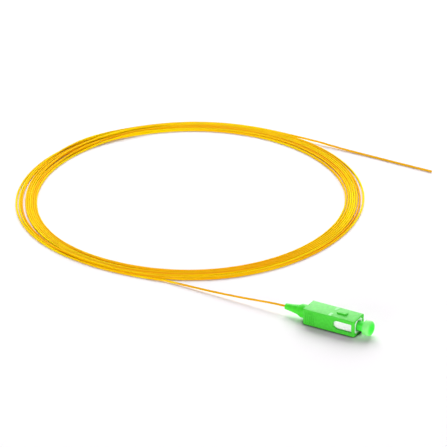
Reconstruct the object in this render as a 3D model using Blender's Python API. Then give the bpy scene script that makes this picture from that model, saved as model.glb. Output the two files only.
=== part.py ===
"""Fibre optic pigtail: an angle-polished square push-pull plug on a loose coil of 0.9 mm buffered fibre.

Metres, +Z up. The plug points along +X and lies on z = 0 with its key on top. The origin is under the
middle of the plug. The pieces of the plug are modelled about its optical axis, with x = 0 at the outer
housing's front face, and the parent empties carry them to their place.
"""

import math

import bmesh
import bpy
from mathutils import Vector

# Gaps between pieces
RADIAL_GAP = 0.0001
SLIDING_GAP = 0.00015
CHAMBER_GAP = 0.0002
SEAT_GAP = 0.0003

# Outer housing, the green sleeve that the fingers grip
HOUSING_LENGTH = 0.0250
HOUSING_WIDTH = 0.0090
HOUSING_HEIGHT = 0.0074
HOUSING_CORNER = 0.0005
SIDE_WALL = 0.00105
TOP_WALL = 0.00065
REAR_WALL = 0.0015
REAR_HOLE_GAP = 0.0002
REAR_RIM = 0.0005
KEY_LENGTH = 0.0045
KEY_WIDTH = 0.0020
KEY_HEIGHT = 0.0010
KEY_BEHIND_FRONT = 0.0057
KEY_ROOT = 0.0003
WINDOW_LENGTH = 0.0092
WINDOW_HEIGHT = 0.0041
WINDOW_BEHIND_FRONT = 0.0012
WINDOW_CORNER = 0.0009

# Plug frame, the white inner body that enters the adapter
FRAME_CORNER = 0.0010
FRAME_SETBACK = 0.0001
SPACE_BEHIND_FRAME = 0.0035
SOCKET_WALL = 0.00045
SOCKET_DEPTH = 0.0071
WEB_THICKNESS = 0.0008
CHAMBER_WALL = 0.0006
LATCH_RECESS_LENGTH = 0.0046
LATCH_RECESS_HEIGHT = 0.0034
LATCH_RECESS_DEPTH = 0.00035
LATCH_RECESS_BEHIND_WINDOW = 0.0040

# Ferrule and its flange, which float on a spring
FERRULE_RADIUS = 0.00125
FERRULE_PROJECTION = 0.0026
FERRULE_TIP_CHAMFER = 0.0003
FERRULE_POLISH_ANGLE = math.radians(8)
FERRULE_TRAVEL = 0.0012
FLANGE_LENGTH = 0.0024
FLANGE_CUP_DEPTH = 0.0015
FLANGE_STEM_WALL = 0.00045
FLANGE_STEM_LENGTH = 0.0018

# Spring
SPRING_WIRE_RADIUS = 0.00022
SPRING_OFF_CENTRE = 0.00005
SPRING_LENGTH = 0.0042
SPRING_TURNS = 5

# Stop body, which closes the rear of the plug frame and carries the boot
STOP_COLLAR_STEP = 0.0003
STOP_COLLAR_LENGTH = 0.0010
STOP_STEM_WALL = 0.00055
STOP_STEM_LENGTH = 0.0027

# Boot, the soft tapered strain relief
BOOT_VISIBLE_LENGTH = 0.0110
BOOT_FRONT_WALL = 0.0008
BOOT_END_WALL = 0.0008
BOOT_COLLAR_STEP = 0.0003
BOOT_SHOULDER_LENGTH = 0.0025
BOOT_FLARE_LENGTH = 0.0027
BOOT_FLARE_STEPS = 6
BOOT_EDGE_ROUND = 0.0002

# Dust cap
CAP_HEAD_RADIUS = 0.0034
CAP_HEAD_LENGTH = 0.0036
CAP_NECK_SHOWING = 0.0030
CAP_NECK_INSERTED = 0.0052
CAP_FRONT_ROUND = 0.0006
CAP_REAR_CHAMFER = 0.0003
CAP_END_WALL = 0.0010
CAP_BORE_GAP = 0.00006

# Fibre
FIBRE_RADIUS = 0.00045
FIBRE_POINT_SPACING = 0.0022

# Coil, the outer shape of the loose turns
COIL_CENTRE_X = -0.1132
COIL_CENTRE_Y = 0.0730
COIL_INNER_RADIUS = 0.0678
COIL_OUTER_RADIUS = 0.0802
COIL_HEIGHT = 0.0022

# How finely round shapes are cut
ROUND_STEPS = 32
COIL_STEPS = 96
SPRING_STEPS_PER_TURN = 16
CAP_ROUND_STEPS = 3
WIRE_BEVEL_RESOLUTION = 1
FIBRE_BEVEL_RESOLUTION = 2
STEPS_BETWEEN_ROUTE_POINTS = 16
MERGE_DISTANCE = 1e-6

# Radii and widths that follow from the sizes above, from the outside in and from the fibre out
FRAME_WIDTH = HOUSING_WIDTH - 2 * (SIDE_WALL + SLIDING_GAP)
FRAME_HEIGHT = HOUSING_HEIGHT - 2 * (TOP_WALL + SLIDING_GAP)
FRAME_ROOM = min(FRAME_HEIGHT, FRAME_WIDTH - 2 * LATCH_RECESS_DEPTH) / 2
SOCKET_RADIUS = FRAME_ROOM - SOCKET_WALL
CHAMBER_RADIUS = FRAME_ROOM - CHAMBER_WALL
FLANGE_RADIUS = CHAMBER_RADIUS - CHAMBER_GAP
STOP_BARREL_RADIUS = CHAMBER_RADIUS - CHAMBER_GAP
STOP_COLLAR_RADIUS = FRAME_ROOM - STOP_COLLAR_STEP
CAP_NECK_RADIUS = SOCKET_RADIUS - CHAMBER_GAP
FIBRE_BORE_RADIUS = FIBRE_RADIUS + RADIAL_GAP
STOP_BORE_RADIUS = FIBRE_BORE_RADIUS + RADIAL_GAP
FLANGE_STEM_RADIUS = FIBRE_BORE_RADIUS + FLANGE_STEM_WALL
SPRING_RADIUS = (CHAMBER_RADIUS + FLANGE_STEM_RADIUS) / 2 + SPRING_OFF_CENTRE
STOP_STEM_RADIUS = STOP_BORE_RADIUS + STOP_STEM_WALL
BOOT_FRONT_RADIUS = STOP_STEM_RADIUS + RADIAL_GAP + BOOT_FRONT_WALL
BOOT_REAR_RADIUS = FIBRE_BORE_RADIUS + BOOT_END_WALL
BOOT_COLLAR_RADIUS = BOOT_FRONT_RADIUS + BOOT_COLLAR_STEP
REAR_HOLE_RADIUS = HOUSING_HEIGHT / 2 - REAR_RIM
BOOT_SHOULDER_RADIUS = REAR_HOLE_RADIUS - REAR_HOLE_GAP

# Places along the plug that follow, from x = 0 at the housing's front
AXIS_HEIGHT = HOUSING_HEIGHT / 2
CAP_FRONT_X = CAP_NECK_SHOWING + CAP_HEAD_LENGTH
BOOT_REAR_X = -HOUSING_LENGTH - BOOT_VISIBLE_LENGTH
HOUSING_FRONT_X = -(CAP_FRONT_X + BOOT_REAR_X) / 2
FRAME_FRONT_X = -FRAME_SETBACK
FRAME_REAR_X = -HOUSING_LENGTH + REAR_WALL + SPACE_BEHIND_FRAME
SOCKET_FLOOR_X = FRAME_FRONT_X - SOCKET_DEPTH
WEB_REAR_X = SOCKET_FLOOR_X - WEB_THICKNESS
FLANGE_FRONT_X = WEB_REAR_X - SEAT_GAP
FLANGE_REAR_X = FLANGE_FRONT_X - FLANGE_LENGTH
FLANGE_CUP_X = FLANGE_FRONT_X - FLANGE_CUP_DEPTH
FLANGE_STEM_END_X = FLANGE_REAR_X - FLANGE_STEM_LENGTH
FERRULE_REAR_X = FLANGE_CUP_X + SEAT_GAP
INNER_FIBRE_FRONT_X = FERRULE_REAR_X - FERRULE_TRAVEL - 2 * SEAT_GAP
SPRING_FRONT_X = FLANGE_REAR_X - SEAT_GAP
SPRING_REAR_X = SPRING_FRONT_X - SPRING_LENGTH
STOP_FRONT_X = SPRING_REAR_X - SEAT_GAP
STOP_COLLAR_X = FRAME_REAR_X - SEAT_GAP
STOP_STEM_X = STOP_COLLAR_X - STOP_COLLAR_LENGTH
STOP_REAR_X = STOP_STEM_X - STOP_STEM_LENGTH
BOOT_FRONT_X = STOP_STEM_X - SEAT_GAP

# Route of the lead from the boot to the coil and of the tail from the coil to its cut end.
# The points lie in the object's own frame and are chosen by eye.
LEAD_ROUTE = [
    (-0.0216, 0.0, 0.0037),
    (-0.0260, 0.0, 0.00356),
    (-0.0330, 0.0, 0.00300),
    (-0.0420, 0.0, 0.00222),
    (-0.0520, 0.0, 0.00152),
    (-0.0620, 0.0, 0.00104),
    (-0.0720, 0.0, 0.00072),
    (-0.0780, -0.0001, 0.00060),
]
TAIL_ROUTE = [
    (-0.0918, 0.1511, 0.00112),
    (-0.0860, 0.1511, 0.00086),
    (-0.0770, 0.1510, 0.00060),
    (-0.0660, 0.1510, 0.00050),
    (-0.0540, 0.1509, 0.00048),
    (-0.0430, 0.1508, 0.00048),
    (-0.0318, 0.1508, 0.00048),
]

MATERIALS = {
    "green_plastic": ((0.06, 0.56, 0.07, 1.0), 0.32, 0.0),
    "white_plastic": ((0.82, 0.83, 0.80, 1.0), 0.40, 0.0),
    "zirconia": ((0.88, 0.87, 0.83, 1.0), 0.15, 0.0),
    "nickel": ((0.66, 0.63, 0.58, 1.0), 0.30, 1.0),
    "spring_steel": ((0.60, 0.61, 0.62, 1.0), 0.28, 1.0),
    "green_boot": ((0.04, 0.47, 0.07, 1.0), 0.50, 0.0),
    "green_cap": ((0.05, 0.86, 0.09, 0.85), 0.25, 0.0),
    "yellow_buffer": ((0.95, 0.58, 0.02, 1.0), 0.38, 0.0),
}


def clear_scene():
    for obj in list(bpy.data.objects):
        bpy.data.objects.remove(obj, do_unlink=True)


def make_material(name):
    colour, roughness, metallic = MATERIALS[name]
    found = bpy.data.materials.get(name)
    if found:
        return found
    made = bpy.data.materials.new(name)
    made.use_nodes = True
    shader = made.node_tree.nodes["Principled BSDF"]
    shader.inputs["Base Color"].default_value = colour
    shader.inputs["Alpha"].default_value = colour[3]
    shader.inputs["Roughness"].default_value = roughness
    shader.inputs["Metallic"].default_value = metallic
    made.diffuse_color = colour
    return made


def make_empty(name, location, parent=None):
    empty = bpy.data.objects.new(name, None)
    empty.location = location
    empty.parent = parent
    bpy.context.scene.collection.objects.link(empty)
    return empty


def add_object(name, data, material_name, parent=None):
    obj = bpy.data.objects.new(name, data)
    obj.parent = parent
    data.materials.append(make_material(material_name))
    bpy.context.scene.collection.objects.link(obj)
    return obj


def finish_mesh(name, bm):
    bmesh.ops.recalc_face_normals(bm, faces=bm.faces)
    mesh = bpy.data.meshes.new(name)
    bm.to_mesh(mesh)
    bm.free()
    mesh.shade_smooth()
    mesh.set_sharp_from_angle(angle=math.radians(30))
    return mesh


def turned_mesh(name, outline, steps=ROUND_STEPS, closed=False, axis=(1, 0, 0)):
    """A body turned about the X or Z axis from (along, radius) points.

    An open outline starts and ends on the axis. A closed one makes a bored body.
    """
    bm = bmesh.new()
    along_z = axis == (0, 0, 1)
    verts = [bm.verts.new((r, 0, a) if along_z else (a, 0, r)) for a, r in outline]
    pairs = list(zip(verts, verts[1:]))
    if closed:
        pairs.append((verts[-1], verts[0]))
    edges = [bm.edges.new(pair) for pair in pairs]
    bmesh.ops.spin(
        bm, geom=verts + edges, cent=(0, 0, 0), axis=axis, angle=2 * math.pi, steps=steps
    )
    bmesh.ops.remove_doubles(bm, verts=bm.verts, dist=MERGE_DISTANCE)
    return finish_mesh(name, bm)


def prism_mesh(name, outline, low, high, across=False):
    """A (y, z) outline pushed along X, or with across a (x, z) outline pushed along Y."""
    bm = bmesh.new()
    start = [(a, low, b) if across else (low, a, b) for a, b in outline]
    face = bm.faces.new([bm.verts.new(point) for point in start])
    pushed = bmesh.ops.extrude_face_region(bm, geom=[face])["geom"]
    ends = [item for item in pushed if isinstance(item, bmesh.types.BMVert)]
    step = (0, high - low, 0) if across else (high - low, 0, 0)
    bmesh.ops.translate(bm, verts=ends, vec=step)
    return finish_mesh(name, bm)


def rectangle(width, height, corner=0.0, centre=(0.0, 0.0)):
    """Corners of a centred rectangle, each cut at 45 degrees where corner is not zero."""
    w, h = width / 2, height / 2
    if not corner:
        points = [(-w, -h), (w, -h), (w, h), (-w, h)]
    else:
        points = [
            (-w + corner, -h),
            (w - corner, -h),
            (w, -h + corner),
            (w, h - corner),
            (w - corner, h),
            (-w + corner, h),
            (-w, h - corner),
            (-w, -h + corner),
        ]
    return [(a + centre[0], b + centre[1]) for a, b in points]


def add_cutter(name, mesh, parent):
    cutter = bpy.data.objects.new(name, mesh)
    cutter.parent = parent
    cutter.hide_render = True
    cutter.display_type = "WIRE"
    bpy.context.scene.collection.objects.link(cutter)
    return cutter


def add_boolean(obj, other, operation="DIFFERENCE"):
    modifier = obj.modifiers.new(other.name, "BOOLEAN")
    modifier.operation = operation
    modifier.object = other
    return modifier


def make_outer_housing(parent):
    """A square sleeve with a key on top, a latch window in each side and a round hole at the rear."""
    body = rectangle(HOUSING_WIDTH, HOUSING_HEIGHT, HOUSING_CORNER)
    mesh = prism_mesh("outer_housing", body, -HOUSING_LENGTH, 0.0)
    housing = add_object("outer_housing", mesh, "green_plastic", parent)

    key_low = HOUSING_HEIGHT / 2 - KEY_ROOT
    key_high = HOUSING_HEIGHT / 2 + KEY_HEIGHT
    key = rectangle(KEY_WIDTH, key_high - key_low, centre=(0, (key_low + key_high) / 2))
    key_mesh = prism_mesh("key", key, -KEY_BEHIND_FRONT - KEY_LENGTH, -KEY_BEHIND_FRONT)
    add_boolean(housing, add_cutter("key", key_mesh, parent), "UNION")

    slot = rectangle(
        FRAME_WIDTH + 2 * SLIDING_GAP, FRAME_HEIGHT + 2 * SLIDING_GAP, FRAME_CORNER
    )
    slot_mesh = prism_mesh("housing_slot", slot, -HOUSING_LENGTH + REAR_WALL, SEAT_GAP)
    add_boolean(housing, add_cutter("housing_slot", slot_mesh, parent))

    rear_low = -HOUSING_LENGTH - SEAT_GAP
    rear_high = -HOUSING_LENGTH + REAR_WALL + SEAT_GAP
    hole = [(rear_low, 0), (rear_low, REAR_HOLE_RADIUS), (rear_high, REAR_HOLE_RADIUS), (rear_high, 0)]
    add_boolean(housing, add_cutter("housing_rear_hole", turned_mesh("housing_rear_hole", hole), parent))

    front = -WINDOW_BEHIND_FRONT
    rear = front - WINDOW_LENGTH
    half = WINDOW_HEIGHT / 2
    window = [
        (front, -half),
        (front, half),
        (rear + WINDOW_CORNER, half),
        (rear, half - WINDOW_CORNER),
        (rear, -half + WINDOW_CORNER),
        (rear + WINDOW_CORNER, -half),
    ]
    window_mesh = prism_mesh("latch_windows", window, -HOUSING_WIDTH, HOUSING_WIDTH, across=True)
    add_boolean(housing, add_cutter("latch_windows", window_mesh, parent))
    return housing


def make_plug_frame(parent):
    """A square body with cut corners: a round socket in front, a web, and the spring's chamber behind."""
    section = rectangle(FRAME_WIDTH, FRAME_HEIGHT, FRAME_CORNER)
    mesh = prism_mesh("plug_frame", section, FRAME_REAR_X, FRAME_FRONT_X)
    frame = add_object("plug_frame", mesh, "white_plastic", parent)

    web_hole = FERRULE_RADIUS + SLIDING_GAP
    bore = [
        (FRAME_FRONT_X + SEAT_GAP, 0),
        (FRAME_FRONT_X + SEAT_GAP, SOCKET_RADIUS),
        (SOCKET_FLOOR_X, SOCKET_RADIUS),
        (SOCKET_FLOOR_X, web_hole),
        (WEB_REAR_X, web_hole),
        (WEB_REAR_X, CHAMBER_RADIUS),
        (FRAME_REAR_X - SEAT_GAP, CHAMBER_RADIUS),
        (FRAME_REAR_X - SEAT_GAP, 0),
    ]
    add_boolean(frame, add_cutter("frame_bore", turned_mesh("frame_bore", bore), parent))

    recess_front = -WINDOW_BEHIND_FRONT - LATCH_RECESS_BEHIND_WINDOW
    middle = recess_front - LATCH_RECESS_LENGTH / 2
    recess = rectangle(LATCH_RECESS_LENGTH, LATCH_RECESS_HEIGHT, centre=(middle, 0))
    floor = FRAME_WIDTH / 2 - LATCH_RECESS_DEPTH
    outside = FRAME_WIDTH / 2 + SEAT_GAP
    for name, low, high in (("near_recess", -outside, -floor), ("far_recess", floor, outside)):
        cutter = add_cutter(name, prism_mesh(name, recess, low, high, across=True), parent)
        add_boolean(frame, cutter)
    return frame


def make_ferrule(parent):
    """A ceramic rod whose tip is chamfered and polished at a small angle."""
    tip_x = FERRULE_PROJECTION
    drop = FERRULE_RADIUS * math.tan(FERRULE_POLISH_ANGLE)
    outline = [
        (FERRULE_REAR_X, 0),
        (FERRULE_REAR_X, FERRULE_RADIUS),
        (tip_x - drop - FERRULE_TIP_CHAMFER, FERRULE_RADIUS),
        (tip_x, FERRULE_RADIUS - FERRULE_TIP_CHAMFER),
        (tip_x, 0),
    ]
    ferrule = add_object("ferrule", turned_mesh("ferrule", outline), "zirconia", parent)
    back = tip_x + FERRULE_PROJECTION
    rise = FERRULE_RADIUS * 2
    slope = rise * math.tan(FERRULE_POLISH_ANGLE)
    polish = [(tip_x - drop + slope, -rise), (back, -rise), (back, rise), (tip_x - drop - slope, rise)]
    mesh = prism_mesh("ferrule_polish", polish, -rise, rise, across=True)
    add_boolean(ferrule, add_cutter("ferrule_polish", mesh, parent))
    return ferrule


def make_flange(parent):
    """The collar that the ferrule is pressed into, with a bored stem that the spring sits round."""
    cup_radius = FERRULE_RADIUS + RADIAL_GAP
    outline = [
        (FLANGE_FRONT_X, cup_radius),
        (FLANGE_FRONT_X, FLANGE_RADIUS),
        (FLANGE_REAR_X, FLANGE_RADIUS),
        (FLANGE_REAR_X, FLANGE_STEM_RADIUS),
        (FLANGE_STEM_END_X, FLANGE_STEM_RADIUS),
        (FLANGE_STEM_END_X, FIBRE_BORE_RADIUS),
        (FLANGE_CUP_X, FIBRE_BORE_RADIUS),
        (FLANGE_CUP_X, cup_radius),
    ]
    mesh = turned_mesh("ferrule_flange", outline, closed=True)
    return add_object("ferrule_flange", mesh, "nickel", parent)


def make_spring(parent):
    """A helix of round wire between the flange and the stop body."""
    count = SPRING_TURNS * SPRING_STEPS_PER_TURN
    start = SPRING_FRONT_X - SPRING_WIRE_RADIUS
    run = SPRING_LENGTH - 2 * SPRING_WIRE_RADIUS
    points = []
    for i in range(count + 1):
        angle = 2 * math.pi * i / SPRING_STEPS_PER_TURN
        y = SPRING_RADIUS * math.sin(angle)
        z = SPRING_RADIUS * math.cos(angle)
        points.append((start - run * i / count, y, z))
    curve = tube_curve("spring", points, SPRING_WIRE_RADIUS, WIRE_BEVEL_RESOLUTION)
    return add_object("spring", curve, "spring_steel", parent)


def make_stop_body(parent):
    """A bored plug behind the spring: a barrel, a collar on the frame's rear and a stem for the boot."""
    outline = [
        (STOP_FRONT_X, STOP_BORE_RADIUS),
        (STOP_FRONT_X, STOP_BARREL_RADIUS),
        (STOP_COLLAR_X, STOP_BARREL_RADIUS),
        (STOP_COLLAR_X, STOP_COLLAR_RADIUS),
        (STOP_STEM_X, STOP_COLLAR_RADIUS),
        (STOP_STEM_X, STOP_STEM_RADIUS),
        (STOP_REAR_X, STOP_STEM_RADIUS),
        (STOP_REAR_X, STOP_BORE_RADIUS),
    ]
    mesh = turned_mesh("stop_body", outline, closed=True)
    return add_object("stop_body", mesh, "white_plastic", parent)


def make_boot(parent):
    """A sleeve over the stop body's stem: a collar, a shoulder in the rear hole, a flare and a long taper."""
    stem_radius = STOP_STEM_RADIUS + RADIAL_GAP
    stem_end = STOP_REAR_X - SEAT_GAP
    shoulder_front = -HOUSING_LENGTH + REAR_WALL
    shoulder_rear = -HOUSING_LENGTH - BOOT_SHOULDER_LENGTH
    outline = [
        (BOOT_FRONT_X, stem_radius),
        (BOOT_FRONT_X, BOOT_COLLAR_RADIUS),
        (shoulder_front, BOOT_COLLAR_RADIUS),
        (shoulder_front, BOOT_SHOULDER_RADIUS),
    ]
    for i in range(BOOT_FLARE_STEPS + 1):
        share = i / BOOT_FLARE_STEPS
        drop = (1 - math.cos(math.pi * share)) / 2
        radius = BOOT_SHOULDER_RADIUS + (BOOT_FRONT_RADIUS - BOOT_SHOULDER_RADIUS) * drop
        outline.append((shoulder_rear - BOOT_FLARE_LENGTH * share, radius))
    outline += [
        (BOOT_REAR_X + BOOT_EDGE_ROUND, BOOT_REAR_RADIUS),
        (BOOT_REAR_X, BOOT_REAR_RADIUS - BOOT_EDGE_ROUND),
        (BOOT_REAR_X, FIBRE_BORE_RADIUS),
        (stem_end, FIBRE_BORE_RADIUS),
        (stem_end, stem_radius),
    ]
    return add_object("boot", turned_mesh("boot", outline, closed=True), "green_boot", parent)


def make_dust_cap(parent):
    """A soft cap: a bored neck over the ferrule, inside the socket, and a solid round head in front."""
    bore_radius = FERRULE_RADIUS + CAP_BORE_GAP
    bore_end = CAP_FRONT_X - CAP_END_WALL
    head_rear = CAP_NECK_SHOWING
    outline = [
        (bore_end, 0),
        (bore_end, bore_radius),
        (-CAP_NECK_INSERTED, bore_radius),
        (-CAP_NECK_INSERTED, CAP_NECK_RADIUS),
        (head_rear, CAP_NECK_RADIUS),
        (head_rear, CAP_HEAD_RADIUS - CAP_REAR_CHAMFER),
        (head_rear + CAP_REAR_CHAMFER, CAP_HEAD_RADIUS),
    ]
    for i in range(CAP_ROUND_STEPS + 1):
        angle = math.pi / 2 * i / CAP_ROUND_STEPS
        along = CAP_FRONT_X - CAP_FRONT_ROUND * (1 - math.sin(angle))
        radius = CAP_HEAD_RADIUS - CAP_FRONT_ROUND * (1 - math.cos(angle))
        outline.append((along, radius))
    outline.append((CAP_FRONT_X, 0))
    return add_object("dust_cap", turned_mesh("dust_cap", outline), "green_cap", parent)


def tube_curve(name, points, radius, resolution):
    """A round wire or fibre through the points, with closed ends."""
    curve = bpy.data.curves.new(name, "CURVE")
    curve.dimensions = "3D"
    curve.bevel_depth = radius
    curve.bevel_resolution = resolution
    curve.use_fill_caps = True
    spline = curve.splines.new("POLY")
    spline.points.add(len(points) - 1)
    for place, point in zip(spline.points, points):
        place.co = (*point, 1.0)
    return curve


def smooth_route(route, spacing):
    """Points about spacing apart on a Catmull-Rom curve through the route."""
    points = [Vector(point) for point in route]
    ends = [2 * points[0] - points[1]] + points + [2 * points[-1] - points[-2]]
    fine = []
    for a, b, c, d in zip(ends, ends[1:], ends[2:], ends[3:]):
        for i in range(STEPS_BETWEEN_ROUTE_POINTS):
            t = i / STEPS_BETWEEN_ROUTE_POINTS
            slope = (c - a) * t
            bend = (2 * a - 5 * b + 4 * c - d) * t**2
            twist = (3 * b - a - 3 * c + d) * t**3
            fine.append((2 * b + slope + bend + twist) / 2)
    fine.append(points[-1])
    lengths = [0.0]
    for a, b in zip(fine, fine[1:]):
        lengths.append(lengths[-1] + (b - a).length)
    count = max(2, round(lengths[-1] / spacing))
    result = []
    place = 0
    for i in range(count + 1):
        wanted = lengths[-1] * i / count
        while place < len(fine) - 2 and lengths[place + 1] < wanted:
            place += 1
        share = (wanted - lengths[place]) / (lengths[place + 1] - lengths[place])
        result.append(fine[place].lerp(fine[place + 1], min(1.0, share)))
    return result


def make_inner_fibre(parent):
    """The straight stretch of fibre from inside the flange to the end of the boot."""
    outline = [
        (BOOT_REAR_X, 0),
        (BOOT_REAR_X, FIBRE_RADIUS),
        (INNER_FIBRE_FRONT_X, FIBRE_RADIUS),
        (INNER_FIBRE_FRONT_X, 0),
    ]
    return add_object("inner_fibre", turned_mesh("inner_fibre", outline), "yellow_buffer", parent)


def make_free_fibre():
    """The lead, the coil and the tail, one cord in three stretches."""
    for name, route in (("lead_fibre", LEAD_ROUTE), ("tail_fibre", TAIL_ROUTE)):
        points = smooth_route(route, FIBRE_POINT_SPACING)
        tube = tube_curve(name, points, FIBRE_RADIUS, FIBRE_BEVEL_RESOLUTION)
        add_object(name, tube, "yellow_buffer")
    section = [
        (0, COIL_INNER_RADIUS),
        (COIL_HEIGHT, COIL_INNER_RADIUS),
        (COIL_HEIGHT, COIL_OUTER_RADIUS),
        (0, COIL_OUTER_RADIUS),
    ]
    ring = turned_mesh("fibre_coil", section, COIL_STEPS, closed=True, axis=(0, 0, 1))
    coil = add_object("fibre_coil", ring, "yellow_buffer")
    coil.location = (COIL_CENTRE_X, COIL_CENTRE_Y, 0)


def main():
    clear_scene()
    front = (HOUSING_FRONT_X, 0, AXIS_HEIGHT)
    plug = make_empty("plug", front)
    grip = make_empty("grip_slide", (0, 0, 0), plug)
    float_empty = make_empty("ferrule_float", (0, 0, 0), plug)
    cap = make_empty("cap_pull", (0, 0, 0), float_empty)
    make_plug_frame(plug)
    make_stop_body(plug)
    make_boot(plug)
    make_spring(plug)
    make_inner_fibre(plug)
    make_outer_housing(grip)
    make_ferrule(float_empty)
    make_flange(float_empty)
    make_dust_cap(cap)
    make_free_fibre()
    bpy.context.view_layer.update()


main()
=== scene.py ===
"""Looks of the fibre optic pigtail: a green square plug with its dust cap on a loose coil of yellow fibre.

Sizes are in metres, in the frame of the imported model: the plug points along +X with its key up, and the
coil lies on the +Y side behind it. The camera and the cord come first, then the plug's pieces, and then
the floor and the light.
"""

import math

import bmesh
import bpy
import numpy as np
from mathutils import Matrix, Vector


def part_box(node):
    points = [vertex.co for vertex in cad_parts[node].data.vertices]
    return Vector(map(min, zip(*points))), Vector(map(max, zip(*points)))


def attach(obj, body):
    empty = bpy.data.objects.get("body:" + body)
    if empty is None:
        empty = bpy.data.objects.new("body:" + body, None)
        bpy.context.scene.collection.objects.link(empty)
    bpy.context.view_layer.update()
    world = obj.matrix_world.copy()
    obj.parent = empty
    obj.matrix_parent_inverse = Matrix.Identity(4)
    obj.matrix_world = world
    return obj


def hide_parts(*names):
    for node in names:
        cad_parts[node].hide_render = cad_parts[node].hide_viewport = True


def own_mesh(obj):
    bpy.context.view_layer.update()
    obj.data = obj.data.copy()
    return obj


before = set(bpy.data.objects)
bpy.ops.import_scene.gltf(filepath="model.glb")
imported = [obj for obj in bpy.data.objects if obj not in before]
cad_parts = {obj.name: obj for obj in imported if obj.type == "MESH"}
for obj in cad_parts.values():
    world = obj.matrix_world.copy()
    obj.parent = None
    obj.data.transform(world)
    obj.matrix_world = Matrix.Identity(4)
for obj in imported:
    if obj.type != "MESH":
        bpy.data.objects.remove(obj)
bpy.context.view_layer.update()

# Camera, fitted to the plug's corners and to the coil's round outline
IMAGE_SIDE = 447
FOCAL_LENGTH_PIXELS = 4601.6
SENSOR_WIDTH = 36.0
CAMERA_PLACE = (0.8606, -1.5081, 0.9368)
CAMERA_ELEVATION = math.radians(27.07)
CAMERA_YAW = math.radians(31.18)
CAMERA_ROLL = math.radians(-0.84)
CAMERA_NEAREST = 0.05
CAMERA_FARTHEST = 20.0

# Fibre
FIBRE_RADIUS = 0.00045
FIBRE_SIDES_RESOLUTION = 4
CORD_POINT_SPACING = 0.0022

# Painted shade: streaks of darker and lighter colour along and across the coil, in turns of the noise for
# each metre
PAINTED_SHADE_ALONG = 12.0
PAINTED_SHADE_ACROSS = 620.0
PAINTED_SHADE_RANGE = (0.32, 0.66)
# The lead and the tail, farther from the coil's centre than this, get painted shade: one duller colour in
# place of the streaks
PAINTED_SHADE_STREAKS_END = 0.0805
PLAIN_FROM = 0.0830
PLAIN_PAINTED_SHADE = 0.40
PLAIN_PAINTED_SHADE_TINT = (0.86, 0.86, 0.95)

# Colours, each as the darker and the lighter end of its mottle
# The buffer's two ends are painted shade and painted light, the ends of its streaks
BUFFER_PAINTED_SHADE = (0.92, 0.40, 0.0005)
BUFFER_PAINTED_LIGHT = (0.98, 0.75, 0.002)
HOUSING_DARK = (0.062, 0.58, 0.038)
HOUSING_LIGHT = (0.082, 0.67, 0.052)
BOOT_DARK = (0.052, 0.68, 0.023)
BOOT_LIGHT = (0.071, 0.79, 0.033)
# The cap's neck colour is painted light in its shade, and its rim colour is a painted sheen along the side
# of its head
CAP_NECK_PAINTED_LIGHT = (0.09, 1.0, 0.08)
CAP_LIGHT = (0.012, 1.0, 0.010)
CAP_PAINTED_SHEEN = (0.28, 0.99, 0.25)
MARK_DARK = (0.16, 0.66, 0.16)
MARK_LIGHT = (0.27, 0.76, 0.27)
FRAME_DARK = (0.95, 0.95, 0.94)
FRAME_LIGHT = (0.98, 0.98, 0.98)
ZIRCONIA_DARK = (0.86, 0.85, 0.81)
ZIRCONIA_LIGHT = (0.92, 0.91, 0.88)
NICKEL_DARK = (0.60, 0.56, 0.50)
NICKEL_LIGHT = (0.72, 0.69, 0.64)
STEEL_DARK = (0.52, 0.53, 0.55)
STEEL_LIGHT = (0.68, 0.69, 0.70)
# The cap's mottle dims its bands of painted light, which lie at these shares of its length past the housing:
# painted light on its shaded neck, and a painted sheen along the side of its head
CAP_MOTTLE_DARK = (0.90, 0.90, 0.90)
CAP_MOTTLE_LIGHT = (1.0, 1.0, 1.0)
CAP_MOTTLE_SHARE = 0.5
CAP_PAINTED_LIGHT_BANDS = ((0.40, CAP_NECK_PAINTED_LIGHT), (0.60, CAP_PAINTED_SHEEN), (0.90, CAP_PAINTED_SHEEN))

# Finishes: mottle and grain are turns of the noise for each metre
BUFFER_ROUGHNESS = 0.5
BUFFER_GLOSS = 0.008
ROUGHNESS_SPREAD = 0.06
HOUSING_FINISH = {"roughness": 0.36, "gloss": 0.11}
MARK_FINISH = {"roughness": 0.5, "gloss": 0.4}
FRAME_FINISH = {"roughness": 0.38, "gloss": 0.5}
BOOT_FINISH = {"roughness": 0.48, "gloss": 0.2, "mottle": 500.0, "grain": 5000.0}
CAP_FINISH = {"roughness": 0.32, "gloss": 0.1, "mottle": 600.0}
ZIRCONIA_FINISH = {"roughness": 0.12, "gloss": 0.9, "mottle": 2500.0, "grain": 20000.0, "grain_depth": 4e-7}
NICKEL_FINISH = {"roughness": 0.28, "ring_scale": 2500.0}
STEEL_FINISH = {"roughness": 0.24, "ring_scale": 6000.0}
TARNISH_SCALE = 1500.0
RING_DISTORTION = 0.6
RING_DEPTH = 3e-6
CAP_SUBSURFACE = 0.4
CAP_SUBSURFACE_RADIUS = (0.15, 1.0, 0.2)
CAP_SUBSURFACE_SCALE = 0.0025
CAP_TRANSMISSION = 0.05

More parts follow.
